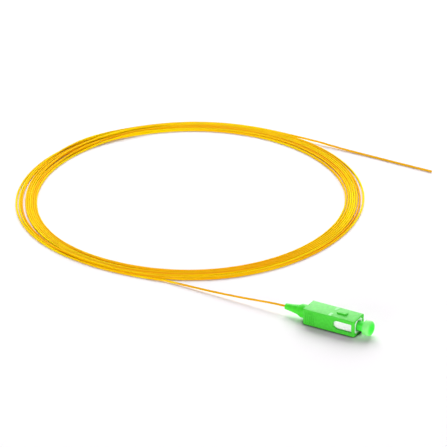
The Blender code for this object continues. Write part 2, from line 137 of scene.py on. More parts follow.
# Outer housing
AXIS_HEIGHT = 0.0037
ON_AXIS = (0.0, AXIS_HEIGHT)
HOUSING_REAR_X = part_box("outer_housing")[0][0]
HOUSING_FRONT_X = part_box("outer_housing")[1][0]
HOUSING_WIDTH = 0.0090
HOUSING_HEIGHT = 0.0074
HOUSING_CORNER = 0.00030
HOUSING_REAR_ROUND = 0.0004
HOUSING_FRONT_ROUND = 0.0002
HOUSING_EDGE = 0.00010
REAR_WALL = 0.0015
REAR_HOLE_RADIUS = 0.0032
REAR_HOLE_CHAMFER = 0.0001
SLOT_WIDTH = 0.0069
SLOT_HEIGHT = 0.0061
KEY_LENGTH = 0.0045
KEY_WIDTH = 0.0020
KEY_HEIGHT = 0.00065
KEY_ROUND = 0.00006
KEY_BEHIND_FRONT = 0.0057
WINDOW_LENGTH = 0.0092
WINDOW_HEIGHT = 0.0041
WINDOW_CORNER = 0.0011
WINDOW_SLANT = 1.6
WINDOW_FRONT_CUT = 0.0003
WINDOW_BEHIND_FRONT = 0.0012
GROOVE_COUNT = 5
GROOVE_PITCH = 0.00095
GROOVE_WIDTH = 0.00045
GROOVE_HEIGHT = 0.0056
GROOVE_DEPTH = 0.00020
GROOVES_FROM_REAR = 0.0015
GROOVE_OVERCUT = 0.0005
GROOVE_CORNER_SHARE = 0.4
GROOVE_CORNER_STEPS = 3
MARK_BEHIND_FRONT = 0.0121
MARK_LENGTH = 0.0013
MARK_WIDTH = 0.0026
MARK_PROUD = 0.00005
MARK_ROUND = 0.00004

# Plug frame
FRAME_REAR_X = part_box("plug_frame")[0][0]
FRAME_FRONT_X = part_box("plug_frame")[1][0]
FRAME_WIDTH = 0.0066
FRAME_HEIGHT = 0.0058
FRAME_CORNER = 0.0010
FRAME_REAR_ROUND = 0.0002
FRAME_FRONT_ROUND = 0.00015
FRAME_EDGE = 0.00006
SOCKET_RADIUS = 0.00245
SOCKET_CHAMFER = 0.00005
SOCKET_DEPTH = 0.0071
WEB_THICKNESS = 0.0008
WEB_HOLE_RADIUS = 0.0014
CHAMBER_RADIUS = 0.0023
LATCH_RECESS_LENGTH = 0.0046
LATCH_RECESS_HEIGHT = 0.0034
LATCH_RECESS_DEPTH = 0.00035
LATCH_RECESS_BEHIND_WINDOW = 0.0040
LATCH_RECESS_FRONT_CUT = 0.0002
LATCH_RECESS_REAR_CUT = 0.0004

# Boot
BOOT_FRONT_RADIUS = 0.0021
BOOT_REAR_RADIUS = 0.00135
BOOT_COLLAR_RADIUS = 0.0024
BOOT_COLLAR_CHAMFER = 0.0002
BOOT_SHOULDER_RADIUS = 0.0030
BOOT_SHOULDER_LENGTH = 0.0025
BOOT_SHOULDER_ROUND = 0.0003
BOOT_FLARE_LENGTH = 0.0027
BOOT_BORE_RADIUS = 0.0013
BOOT_STEM_END_X = HOUSING_REAR_X + 0.0007
BOOT_HOLLOW = 0.00006
BOOT_BEAD_LENGTH = 0.0004
BOOT_BEAD_DROP = 0.0002
BOOT_MOUTH_GAP = 0.0001
BOOT_MOUTH_DEPTH = 0.0006
BOOT_FIBRE_GAP = 0.00005
BOOT_STEPS = 10
BEAD_STEPS = 4

# Dust cap
CAP_HEAD_RADIUS = 0.0034
CAP_HEAD_LENGTH = 0.0036
CAP_NECK_RADIUS = 0.00218
CAP_NECK_TAPER = 0.00025
CAP_NECK_TAPER_LENGTH = 0.0003
CAP_BORE_RADIUS = 0.00131
CAP_BORE_CHAMFER = 0.0003
CAP_END_WALL = 0.0010
CAP_FILLET = 0.0002
CAP_REAR_ROUND = 0.0005
CAP_FRONT_ROUND = 0.0011
CAP_DOME = 0.00025
CAP_STEPS = 6

# Light, and the floor that it falls on
FLOOR_SIZE = 8.0
FLOOR_COLOUR = (0.92, 0.893, 0.92)
FLOOR_ROUGHNESS = 0.9
# Painted contact shadow: the dark line painted on the floor where the housing stands on it, and where it
# fades out past the housing's ends
PAINTED_CONTACT_SHADOW = (0.04, 0.04, 0.04)
CONTACT_REACH = 0.0022
CONTACT_RANGE = (0.5, 0.9)
CONTACT_SAMPLES = 16
CONTACT_FADE = (0.0004, 0.0022)
# The floor is tinted across the plug's shadow, so that light from the plug's side doesn't turn it green.
# Each tint is a share of the way from the shadow's edge to the plug's axis, and how much green it keeps.
SHADOW_FADE = (-0.0045, 0.0030)
SHADOW_EDGE_Y = -0.0180
SHADOW_TINTS = ((0.43, 0.85), (0.54, 0.73), (0.65, 0.66), (0.75, 0.62))
LIGHT_AT_HORIZON = 0.25
LIGHT_OVERHEAD = 0.10
# Each light is a name, a power, a width, a height and a place, and it points at the plug
LIGHTS = (
    ("key", 176.0, 3.0, 3.0, (-1.307, 2.182, 1.59)),
    ("side_fill", 36.0, 2.0, 0.7, (-0.50, -2.35, 0.42)),
    ("front_fill", 31.0, 1.2, 0.7, (2.36, -0.40, 0.42)),
)

# How finely round shapes are drawn, and how meshes are finished
CORNER_STEPS = 6
END_STEPS = 4
TURNED_STEPS = 64
EDGE_STEPS = 2
EDGE_ANGLE = math.radians(50)
SHARP_ANGLE = math.radians(32)
LEAST_CORNER_SHARE = 0.3
MERGE_DISTANCE = 1e-6
# How far a cutting body reaches past the face that it cuts
OVERCUT = 0.001

# Route of the lead from the boot to the coil, and of the tail from the coil to its cut end
LEAD_ROUTE = [
    (-0.0216, 0.0, 0.0037),
    (-0.0260, 0.0, 0.00356),
    (-0.0330, 0.0, 0.00300),
    (-0.0420, 0.0, 0.00222),
    (-0.0520, 0.0, 0.00152),
    (-0.0620, 0.0, 0.00104),
    (-0.0720, 0.0, 0.00072),
    (-0.0780, -0.0001, 0.00060),
]
TAIL_ROUTE = [
    (-0.0918, 0.1511, 0.00112),
    (-0.0860, 0.1511, 0.00086),
    (-0.0770, 0.1510, 0.00060),
    (-0.0660, 0.1510, 0.00050),
    (-0.0540, 0.1509, 0.00048),
    (-0.0430, 0.1508, 0.00048),
    (-0.0318, 0.1508, 0.00048),
]

# Coil: how far out each turn lies in millimetres, from the lead to the tail, at these places round it.
# The places are degrees clockwise from the side nearest the plug, seen from above.
COIL_CENTRE = (-0.1132, 0.0730)
NEAR_SIDE = math.radians(-90)
COIL_PLACES = (30, 45, 60, 78, 149, 207, 237, 252, 270, 329, 360)
COIL_TURNS = [
    (77.9, 78.6, 79.0, 78.9, 78.3, 78.1, 78.1, 77.5, 77.0, 78.0, 75.7),
    (75.9, 76.3, 76.4, 77.0, 76.4, 75.8, 75.1, 74.9, 74.7, 76.2, 74.1),
    (74.1, 74.2, 74.1, 75.7, 75.4, 74.7, 74.1, 73.9, 73.7, 74.2, 73.4),
    (73.3, 73.3, 73.2, 74.6, 73.4, 72.6, 72.2, 72.0, 71.7, 72.0, 72.0),
    (71.7, 71.7, 71.6, 72.4, 71.4, 69.7, 70.2, 69.9, 69.5, 69.8, 68.9),
    (70.1, 70.1, 70.0, 70.5, 72.4, 71.6, 71.25, 71.0, 70.6, 70.9, 69.8),
    (70.9, 70.9, 70.8, 71.5, 74.4, 73.7, 73.15, 73.0, 72.7, 73.1, 72.7),
    (72.5, 72.5, 72.4, 73.5, 77.4, 76.9, 76.1, 76.4, 75.8, 77.1, 74.9),
    (76.8, 77.5, 77.2, 77.9, 79.5),
]
# Where the lead runs in to the first turn, as points on the floor
ENTRY = [(-0.0880, -0.0007), (-0.0975, -0.0016), (-0.1050, -0.0024)]
STEPS_PER_TURN = 120
STACK_RAMP = STEPS_PER_TURN // 24
RELAX_ROUNDS = 400
RELAX_PULL = 0.03
RELAX_STIFFNESS = 0.5
RELAX_DROP = 0.00001
LEAST_APART = 1e-7


def rotation_of_camera():
    """The camera's axes as a matrix: it looks down at the plug from its left front, and rolls a little."""
    back = Vector(
        (
            math.sin(CAMERA_YAW) * math.cos(CAMERA_ELEVATION),
            -math.cos(CAMERA_YAW) * math.cos(CAMERA_ELEVATION),
            math.sin(CAMERA_ELEVATION),
        )
    )
    right = Vector((0, 0, 1)).cross(back).normalized()
    up = back.cross(right)
    cos_roll = math.cos(CAMERA_ROLL)
    sin_roll = math.sin(CAMERA_ROLL)
    rolled_right = cos_roll * right + sin_roll * up
    rolled_up = cos_roll * up - sin_roll * right
    return Matrix((rolled_right, rolled_up, back)).transposed().to_4x4()


def make_camera():
    data = bpy.data.cameras.new("photo_camera")
    data.sensor_width = SENSOR_WIDTH
    data.lens = FOCAL_LENGTH_PIXELS / IMAGE_SIDE * SENSOR_WIDTH
    data.clip_start = CAMERA_NEAREST
    data.clip_end = CAMERA_FARTHEST
    camera = bpy.data.objects.new("photo_camera", data)
    camera.matrix_world = Matrix.Translation(CAMERA_PLACE) @ rotation_of_camera()
    bpy.context.scene.collection.objects.link(camera)
    bpy.context.scene.camera = camera


def smooth_values(places, values, wanted):
    """A smooth curve through values at uneven places, read at the wanted places."""
    places = np.asarray(places, float)
    values = np.asarray(values, float)
    slopes = np.gradient(values, places)
    i = np.clip(np.searchsorted(places, wanted) - 1, 0, len(places) - 2)
    span = places[i + 1] - places[i]
    t = (wanted - places[i]) / span
    start = (1 + 2 * t) * (1 - t) ** 2 * values[i] + t * (1 - t) ** 2 * span * slopes[i]
    return start + t * t * (3 - 2 * t) * values[i + 1] + t * t * (t - 1) * span * slopes[i + 1]


def polar(point):
    """How far round the coil a point lies, clockwise from its near side seen from above, and how far out."""
    x = point[0] - COIL_CENTRE[0]
    y = point[1] - COIL_CENTRE[1]
    return NEAR_SIDE - math.atan2(y, x), math.hypot(x, y)


def wanted_turns():
    """Places round the coil and the wanted radii there, from the lead's end to the tail's start."""
    knots = [polar(point) for point in (LEAD_ROUTE[-2], LEAD_ROUTE[-1], *ENTRY)]
    for turn, radii in enumerate(COIL_TURNS):
        for place, radius in zip(COIL_PLACES, radii):
            last = 2 * math.pi * turn + math.radians(place)
            knots.append((last, radius / 1000))
    for point in TAIL_ROUTE[:2]:
        place, radius = polar(point)
        knots.append((last + (place - last) % (2 * math.pi), radius))
    first = knots[1][0]
    end = knots[-2][0]
    step = 2 * math.pi / STEPS_PER_TURN
    places = np.arange(first + step, end - step / 2, step)
    radii = smooth_values([k[0] for k in knots], [k[1] for k in knots], places)
    return places, radii


def stacked_heights(radii):
    """Each stretch lies on the earlier turns that it crosses, with long ramps up and down."""
    thick = 2 * FIBRE_RADIUS
    heights = np.full(len(radii), FIBRE_RADIUS)
    for turn in range(1, len(radii) // STEPS_PER_TURN + 1):
        low = turn * STEPS_PER_TURN
        now = np.arange(low, min(low + STEPS_PER_TURN, len(radii)))
        need = np.full(len(now), FIBRE_RADIUS)
        for earlier in range(1, turn + 1):
            under = now - earlier * STEPS_PER_TURN
            apart = radii[now] - radii[under]
            rise = np.sqrt(np.clip(thick**2 - apart**2, 0, None))
            need = np.where(np.abs(apart) < thick, np.maximum(need, heights[under] + rise), need)
        heights[now] = need
    around = [slice(max(0, i - STACK_RAMP), i + STACK_RAMP + 1) for i in range(len(heights))]
    wide = np.array([heights[near].max() for near in around])
    return np.array([wide[near].mean() for near in around])


def relax_turns(wanted, heights):
    """Lets the turns settle: they push each other apart, sink to the floor and stay smooth."""
    thick = 2 * FIBRE_RADIUS
    radii = wanted.copy()
    for _ in range(RELAX_ROUNDS):
        heights = np.maximum(heights - RELAX_DROP, FIBRE_RADIUS)
        for lag in range(STEPS_PER_TURN, len(radii), STEPS_PER_TURN):
            out = radii[lag:] - radii[:-lag]
            up = heights[lag:] - heights[:-lag]
            apart = np.maximum(np.hypot(out, up), LEAST_APART)
            push = np.maximum(thick - apart, 0) / 2 / apart
            radii[lag:] += push * out
            radii[:-lag] -= push * out
            heights[lag:] += push * up
            heights[:-lag] -= push * up
            heights = np.maximum(heights, FIBRE_RADIUS)
        radii[1:-1] += RELAX_STIFFNESS * ((radii[:-2] + radii[2:]) / 2 - radii[1:-1])
        heights[1:-1] += RELAX_STIFFNESS * ((heights[:-2] + heights[2:]) / 2 - heights[1:-1])
        radii += RELAX_PULL * (wanted - radii)
        radii[0] = wanted[0]
        radii[-1] = wanted[-1]
        heights[0] = LEAD_ROUTE[-1][2]
        heights[-1] = TAIL_ROUTE[0][2]
    return radii, heights


def coil_points():
    places, wanted = wanted_turns()
    radii, heights = relax_turns(wanted, stacked_heights(wanted))
    angles = NEAR_SIDE - places
    x = COIL_CENTRE[0] + radii * np.cos(angles)
    y = COIL_CENTRE[1] + radii * np.sin(angles)
    return list(zip(x, y, heights))


def smooth_route(route, spacing):
    """Points about spacing apart on a smooth curve through the route."""
    route = np.asarray(route, float)
    lengths = np.concatenate([[0], np.cumsum(np.linalg.norm(np.diff(route, axis=0), axis=1))])
    wanted = np.linspace(0, lengths[-1], round(lengths[-1] / spacing) + 1)
    return np.stack([smooth_values(lengths, route[:, axis], wanted) for axis in range(3)], axis=1)


def make_cord():
    points = smooth_route([*LEAD_ROUTE, *coil_points(), *TAIL_ROUTE], CORD_POINT_SPACING)
    points[:, 2] = np.maximum(points[:, 2], FIBRE_RADIUS)
    curve = bpy.data.curves.new("fibre_cord", "CURVE")
    curve.dimensions = "3D"
    curve.bevel_depth = FIBRE_RADIUS
    curve.bevel_resolution = FIBRE_SIDES_RESOLUTION
    curve.use_fill_caps = True
    spline = curve.splines.new("POLY")
    spline.points.add(len(points) - 1)
    for place, point in zip(spline.points, points):
        place.co = (*point, 1.0)
    spline.use_smooth = True
    cord = bpy.data.objects.new("fibre_cord", curve)
    bpy.context.scene.collection.objects.link(cord)
    curve.materials.append(make_buffer_material())
    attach(cord, "plug")
    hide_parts("lead_fibre", "fibre_coil", "tail_fibre")


def new_material(name):
    made = bpy.data.materials.new(name)
    made.use_nodes = True
    return made, made.node_tree.nodes["Principled BSDF"]


def add_node(made, kind, **settings):
    node = made.node_tree.nodes.new(kind)
    for name, value in settings.items():
        setattr(node, name, value)
    return node


def join(made, output, socket):
    made.node_tree.links.new(output, socket)


def add_ramp(made, dark, light, low=0.3, high=0.7):
    ramp = add_node(made, "ShaderNodeValToRGB")
    ramp.color_ramp.elements[0].position = low
    ramp.color_ramp.elements[0].color = (*dark, 1)
    ramp.color_ramp.elements[1].position = high
    ramp.color_ramp.elements[1].color = (*light, 1)
    return ramp


def add_noise(made, scale, detail=2.0):
    """Noise in metres, from the object's own coordinates."""
    place = add_node(made, "ShaderNodeTexCoord")
    noise = add_node(made, "ShaderNodeTexNoise")
    noise.inputs["Scale"].default_value = scale
    noise.inputs["Detail"].default_value = detail
    join(made, place.outputs["Object"], noise.inputs["Vector"])
    return noise


def add_bump(made, height, shader, depth):
    bump = add_node(made, "ShaderNodeBump")
    bump.inputs["Strength"].default_value = 1.0
    bump.inputs["Distance"].default_value = depth
    join(made, height, bump.inputs["Height"])
    join(made, bump.outputs["Normal"], shader.inputs["Normal"])


def make_buffer_material():
    """Extruded buffer with painted shade: streaks across and along the coil stand in for the light and shade
    that each strand picks up from its neighbours, and the lead and the tail get one duller painted shade.
    """
    made, shader = new_material("yellow_buffer")
    place = add_node(made, "ShaderNodeTexCoord")
    middle = add_node(made, "ShaderNodeVectorMath", operation="SUBTRACT")
    middle.inputs[1].default_value = (*COIL_CENTRE, 0.0)
    flat = add_node(made, "ShaderNodeVectorMath", operation="MULTIPLY")
    flat.inputs[1].default_value = (1.0, 1.0, 0.0)
    radius = add_node(made, "ShaderNodeVectorMath", operation="LENGTH")
    along = add_node(made, "ShaderNodeVectorMath", operation="SCALE")
    along.inputs["Scale"].default_value = PAINTED_SHADE_ALONG
    across = add_node(made, "ShaderNodeMath", operation="MULTIPLY")
    across.inputs[1].default_value = PAINTED_SHADE_ACROSS
    # Painted shade: noise across and along the coil streaks the strands darker and lighter
    streaks = add_node(made, "ShaderNodeTexNoise", noise_dimensions="4D")
    streaks.inputs["Scale"].default_value = 1.0
    streaks.inputs["Detail"].default_value = 1.0
    ramp = add_ramp(made, BUFFER_PAINTED_SHADE, BUFFER_PAINTED_LIGHT, *PAINTED_SHADE_RANGE)
    join(made, place.outputs["Object"], middle.inputs[0])
    join(made, middle.outputs["Vector"], flat.inputs[0])
    join(made, flat.outputs["Vector"], radius.inputs[0])
    join(made, radius.outputs["Value"], across.inputs[0])
    join(made, flat.outputs["Vector"], along.inputs[0])
    join(made, along.outputs["Vector"], streaks.inputs["Vector"])
    join(made, across.outputs["Value"], streaks.inputs["W"])
    # Painted shade: the lead and the tail get one duller colour in place of the streaks
    outside = add_node(made, "ShaderNodeMapRange")
    outside.inputs["From Min"].default_value = PAINTED_SHADE_STREAKS_END
    outside.inputs["From Max"].default_value = PLAIN_FROM
    shade = add_node(made, "ShaderNodeMix")
    shade.inputs["B"].default_value = PLAIN_PAINTED_SHADE
    join(made, radius.outputs["Value"], outside.inputs["Value"])
    join(made, outside.outputs["Result"], shade.inputs["Factor"])
    join(made, streaks.outputs["Fac"], shade.inputs["A"])
    join(made, shade.outputs["Result"], ramp.inputs["Fac"])
    tint = add_node(made, "ShaderNodeMix", data_type="RGBA", blend_type="MULTIPLY")
    tint.inputs["B"].default_value = (*PLAIN_PAINTED_SHADE_TINT, 1)
    join(made, outside.outputs["Result"], tint.inputs["Factor"])
    join(made, ramp.outputs["Color"], tint.inputs["A"])
    join(made, tint.outputs["Result"], shader.inputs["Base Color"])
    shader.inputs["Roughness"].default_value = BUFFER_ROUGHNESS
    shader.inputs["Specular IOR Level"].default_value = BUFFER_GLOSS
    return made


def make_plastic(name, dark, light, roughness, gloss=0.5, mottle=900.0, grain=9000.0, grain_depth=2e-6):
    """Moulded plastic: slightly mottled colour, and a fine grain that softens its gloss."""
    made, shader = new_material(name)
    ramp = add_ramp(made, dark, light)
    join(made, add_noise(made, mottle).outputs["Fac"], ramp.inputs["Fac"])
    join(made, ramp.outputs["Color"], shader.inputs["Base Color"])
    fine = add_noise(made, grain)
    add_bump(made, fine.outputs["Fac"], shader, grain_depth)
    sheen = add_node(made, "ShaderNodeMapRange")
    sheen.inputs["To Min"].default_value = roughness - ROUGHNESS_SPREAD
    sheen.inputs["To Max"].default_value = roughness + ROUGHNESS_SPREAD
    join(made, fine.outputs["Fac"], sheen.inputs["Value"])
    join(made, sheen.outputs["Result"], shader.inputs["Roughness"])
    shader.inputs["Specular IOR Level"].default_value = gloss
    return made


def make_cap_material():
    """Soft plastic that light enters, with painted light on its shaded neck and a painted sheen along the
    side of its head.
    """
    made = make_plastic("green_cap", CAP_MOTTLE_DARK, CAP_MOTTLE_LIGHT, **CAP_FINISH)
    shader = made.node_tree.nodes["Principled BSDF"]
    place = add_node(made, "ShaderNodeTexCoord")
    split = add_node(made, "ShaderNodeSeparateXYZ")
    along = add_node(made, "ShaderNodeMapRange")
    along.inputs["From Min"].default_value = HOUSING_FRONT_X
    along.inputs["From Max"].default_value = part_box("dust_cap")[1][0]
    # Painted light: bands along the cap lift its shaded neck and paint a sheen along the side of its head
    bands = add_ramp(made, CAP_NECK_PAINTED_LIGHT, CAP_LIGHT, 0.0, 1.0)
    for position, colour in CAP_PAINTED_LIGHT_BANDS:
        bands.color_ramp.elements.new(position).color = (*colour, 1)
    mottle = add_node(made, "ShaderNodeMix", data_type="RGBA", blend_type="MULTIPLY")
    mottle.inputs["Factor"].default_value = CAP_MOTTLE_SHARE
    old_ramp = shader.inputs["Base Color"].links[0].from_node
    join(made, place.outputs["Object"], split.inputs["Vector"])
    join(made, split.outputs["X"], along.inputs["Value"])
    join(made, along.outputs["Result"], bands.inputs["Fac"])
    join(made, bands.outputs["Color"], mottle.inputs["A"])
    join(made, old_ramp.outputs["Color"], mottle.inputs["B"])
    join(made, mottle.outputs["Result"], shader.inputs["Base Color"])
    shader.inputs["Subsurface Weight"].default_value = CAP_SUBSURFACE
    shader.inputs["Subsurface Radius"].default_value = CAP_SUBSURFACE_RADIUS
    shader.inputs["Subsurface Scale"].default_value = CAP_SUBSURFACE_SCALE
    shader.inputs["Transmission Weight"].default_value = CAP_TRANSMISSION
    return made


def make_turned_metal(name, dark, light, roughness, ring_scale):
    """Metal with fine turning rings across its axis and a little uneven tarnish."""
    made, shader = new_material(name)
    ramp = add_ramp(made, dark, light)
    join(made, add_noise(made, TARNISH_SCALE).outputs["Fac"], ramp.inputs["Fac"])
    join(made, ramp.outputs["Color"], shader.inputs["Base Color"])
    place = add_node(made, "ShaderNodeTexCoord")
    rings = add_node(made, "ShaderNodeTexWave", bands_direction="X")
    rings.inputs["Scale"].default_value = ring_scale
    rings.inputs["Distortion"].default_value = RING_DISTORTION
    join(made, place.outputs["Object"], rings.inputs["Vector"])
    add_bump(made, rings.outputs["Fac"], shader, RING_DEPTH)
    shader.inputs["Roughness"].default_value = roughness
    shader.inputs["Metallic"].default_value = 1.0
    return made


def rounded_rectangle(width, height, corner, steps=CORNER_STEPS):
    """Points round a centred rectangle with round corners, anticlockwise from its right side."""
    points = []
    for turn in range(4):
        side_y = 1 if turn in (0, 3) else -1
        side_z = 1 if turn in (0, 1) else -1
        for i in range(steps + 1):
            angle = math.pi / 2 * (turn + i / steps)
            y = side_y * (width / 2 - corner) + corner * math.cos(angle)
            z = side_z * (height / 2 - corner) + corner * math.sin(angle)
            points.append((y, z))
    return points


def rounded_ends(low, high, low_round, high_round):
    """Places along a body and how far its section is drawn in there, for a round edge at each end."""
    angles = [math.pi / 2 * i / END_STEPS for i in range(END_STEPS + 1)]
    stations = []
    for angle in angles:
        stations.append((low + low_round * (1 - math.cos(angle)), low_round * (1 - math.sin(angle))))
    for angle in angles:
        stations.append((high - high_round * (1 - math.sin(angle)), high_round * (1 - math.cos(angle))))
    return stations


def block_mesh(name, width, height, corner, stations, centre=(0.0, 0.0), steps=CORNER_STEPS):
    """A body along X whose section is a rounded rectangle, drawn in by each station's inset."""
    bm = bmesh.new()
    rings = []
    for x, inset in stations:
        drawn_corner = max(corner - inset, corner * LEAST_CORNER_SHARE)
        section = rounded_rectangle(width - 2 * inset, height - 2 * inset, drawn_corner, steps)
        rings.append([bm.verts.new((x, y + centre[0], z + centre[1])) for y, z in section])
    for near, far in zip(rings, rings[1:]):
        for i in range(len(near)):
            j = (i + 1) % len(near)
            bm.faces.new((near[i], near[j], far[j], far[i]))
    bm.faces.new(rings[0])
    bm.faces.new(rings[-1])
    return finished(name, bm)


def turned_mesh(name, outline, closed=False):
    """A body turned about the plug's axis from (along, radius) points."""
    bm = bmesh.new()
    verts = [bm.verts.new((x, 0, r)) for x, r in outline]
    pairs = list(zip(verts, verts[1:]))
    if closed:
        pairs.append((verts[-1], verts[0]))
    edges = [bm.edges.new(pair) for pair in pairs]
    bmesh.ops.spin(
        bm, geom=verts + edges, cent=(0, 0, 0), axis=(1, 0, 0), angle=2 * math.pi, steps=TURNED_STEPS
    )
    bmesh.ops.remove_doubles(bm, verts=bm.verts, dist=MERGE_DISTANCE)
    bmesh.ops.translate(bm, verts=bm.verts, vec=(0, 0, AXIS_HEIGHT))
    return finished(name, bm)


def finished(name, bm):
    bmesh.ops.recalc_face_normals(bm, faces=bm.faces)
    mesh = bpy.data.meshes.new(name)
    bm.to_mesh(mesh)
    bm.free()
    mesh.shade_smooth()
    mesh.set_sharp_from_angle(angle=SHARP_ANGLE)
    return mesh


def add_piece(name, mesh, material, body):
    piece = bpy.data.objects.new(name, mesh)
    bpy.context.scene.collection.objects.link(piece)
    mesh.materials.append(material)
    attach(piece, body)
    return piece


def shaped(mesh, cutters, added, edge):
    """The mesh with other bodies added to it and cut from it, and its new edges rounded."""
    body = bpy.data.objects.new("shaping", mesh)
    helpers = [body]
    for operation, others in (("UNION", added), ("DIFFERENCE", cutters)):
        for other in others:
            helper = bpy.data.objects.new("helper", other)
            helpers.append(helper)
            step = body.modifiers.new("shape", "BOOLEAN")
            step.operation = operation
            step.object = helper
    bevel = body.modifiers.new("edge", "BEVEL")
    bevel.width = edge
    bevel.segments = EDGE_STEPS
    bevel.limit_method = "ANGLE"
    bevel.angle_limit = EDGE_ANGLE
    bevel.use_clamp_overlap = True
    bevel.harden_normals = True
    for helper in helpers:
        bpy.context.scene.collection.objects.link(helper)
    bpy.context.view_layer.update()
    graph = bpy.context.evaluated_depsgraph_get()
    result = bpy.data.meshes.new_from_object(body.evaluated_get(graph))
    for helper in helpers:
        bpy.data.objects.remove(helper)
    return result


def side_prism(name, outline, low, high):
    """A (x, z) outline about the axis, pushed across the plug from low to high."""
    bm = bmesh.new()
    face = bm.faces.new([bm.verts.new((x, low, z + AXIS_HEIGHT)) for x, z in outline])
    pushed = bmesh.ops.extrude_face_region(bm, geom=[face])["geom"]
    ends = [item for item in pushed if isinstance(item, bmesh.types.BMVert)]
    bmesh.ops.translate(bm, verts=ends, vec=(0, high - low, 0))
    return finished(name, bm)


def cut_rectangle(front, rear, half, front_cut, rear_cut, slant=1.0):
    """A (x, z) rectangle with cut corners; the rear cuts are slant times as long as they are high."""
    return [
        (front - front_cut, -half),
        (front, -half + front_cut),
        (front, half - front_cut),
        (front - front_cut, half),
        (rear + rear_cut * slant, half),
        (rear, half - rear_cut),
        (rear, -half + rear_cut),
        (rear + rear_cut * slant, -half),
    ]


def grip_grooves():
    """Shallow upright grooves in both sides of the housing's rear, where the fingers hold it."""
    corner = GROOVE_WIDTH * GROOVE_CORNER_SHARE
    section = rounded_rectangle(GROOVE_WIDTH, GROOVE_HEIGHT, corner, GROOVE_CORNER_STEPS)
    bm = bmesh.new()
    for side in (-1, 1):
        for i in range(GROOVE_COUNT):
            x = HOUSING_REAR_X + GROOVES_FROM_REAR + i * GROOVE_PITCH
            rings = []
            for y in (HOUSING_WIDTH / 2 - GROOVE_DEPTH, HOUSING_WIDTH / 2 + GROOVE_OVERCUT):
                rings.append([bm.verts.new((x + a, side * y, b + AXIS_HEIGHT)) for a, b in section])
            for j in range(len(section)):
                k = (j + 1) % len(section)
                bm.faces.new((rings[0][j], rings[0][k], rings[1][k], rings[1][j]))
            bm.faces.new(rings[0])
            bm.faces.new(rings[1])
    return finished("grooves", bm)


def make_housing():
    """The green sleeve: round edges, a key, a latch window in each side and grooves to hold it by."""
    ends = rounded_ends(HOUSING_REAR_X, HOUSING_FRONT_X, HOUSING_REAR_ROUND, HOUSING_FRONT_ROUND)
    body = block_mesh("housing", HOUSING_WIDTH, HOUSING_HEIGHT, HOUSING_CORNER, ends, ON_AXIS)
    key_ends = rounded_ends(
        HOUSING_FRONT_X - KEY_BEHIND_FRONT - KEY_LENGTH,
        HOUSING_FRONT_X - KEY_BEHIND_FRONT,
        KEY_ROUND,
        KEY_ROUND,
    )
    key_tall = 2 * KEY_HEIGHT
    key = block_mesh("key", KEY_WIDTH, key_tall, KEY_ROUND, key_ends, (0.0, HOUSING_HEIGHT))
    inner = [(HOUSING_REAR_X + REAR_WALL, 0.0), (HOUSING_FRONT_X + OVERCUT, 0.0)]
    slot = block_mesh("slot", SLOT_WIDTH, SLOT_HEIGHT, FRAME_CORNER, inner, ON_AXIS, steps=1)
    rear_hole = turned_mesh(
        "rear_hole",
        [
            (HOUSING_REAR_X - OVERCUT, 0),
            (HOUSING_REAR_X - OVERCUT, REAR_HOLE_RADIUS + REAR_HOLE_CHAMFER),
            (HOUSING_REAR_X, REAR_HOLE_RADIUS + REAR_HOLE_CHAMFER),
            (HOUSING_REAR_X + REAR_HOLE_CHAMFER, REAR_HOLE_RADIUS),
            (HOUSING_REAR_X + REAR_WALL + OVERCUT, REAR_HOLE_RADIUS),
            (HOUSING_REAR_X + REAR_WALL + OVERCUT, 0),
        ],
    )
    front = HOUSING_FRONT_X - WINDOW_BEHIND_FRONT
    rear = front - WINDOW_LENGTH
    outline = cut_rectangle(
        front, rear, WINDOW_HEIGHT / 2, WINDOW_FRONT_CUT, WINDOW_CORNER, WINDOW_SLANT
    )
    windows = side_prism("windows", outline, -HOUSING_WIDTH, HOUSING_WIDTH)
    mesh = shaped(body, [slot, rear_hole, windows, grip_grooves()], [key], HOUSING_EDGE)
    green = make_plastic("green_housing", HOUSING_DARK, HOUSING_LIGHT, **HOUSING_FINISH)
    housing = add_piece("housing_shell", mesh, green, "grip")
    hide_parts("outer_housing")


def make_marks():
    """Two pale, slightly proud stripes on the housing's top, one near each side."""
    x = HOUSING_FRONT_X - MARK_BEHIND_FRONT
    ends = rounded_ends(x - MARK_LENGTH / 2, x + MARK_LENGTH / 2, MARK_ROUND, MARK_ROUND)
    stripe_material = make_plastic("pale_stripes", MARK_DARK, MARK_LIGHT, **MARK_FINISH)
    for name, side in (("near_mark", -1), ("far_mark", 1)):
        middle = side * (HOUSING_WIDTH / 2 - HOUSING_CORNER - MARK_WIDTH / 2)
        centre = (middle, HOUSING_HEIGHT)
        mesh = block_mesh(name, MARK_WIDTH, 2 * MARK_PROUD, MARK_PROUD, ends, centre)
        add_piece(name, mesh, stripe_material, "grip")


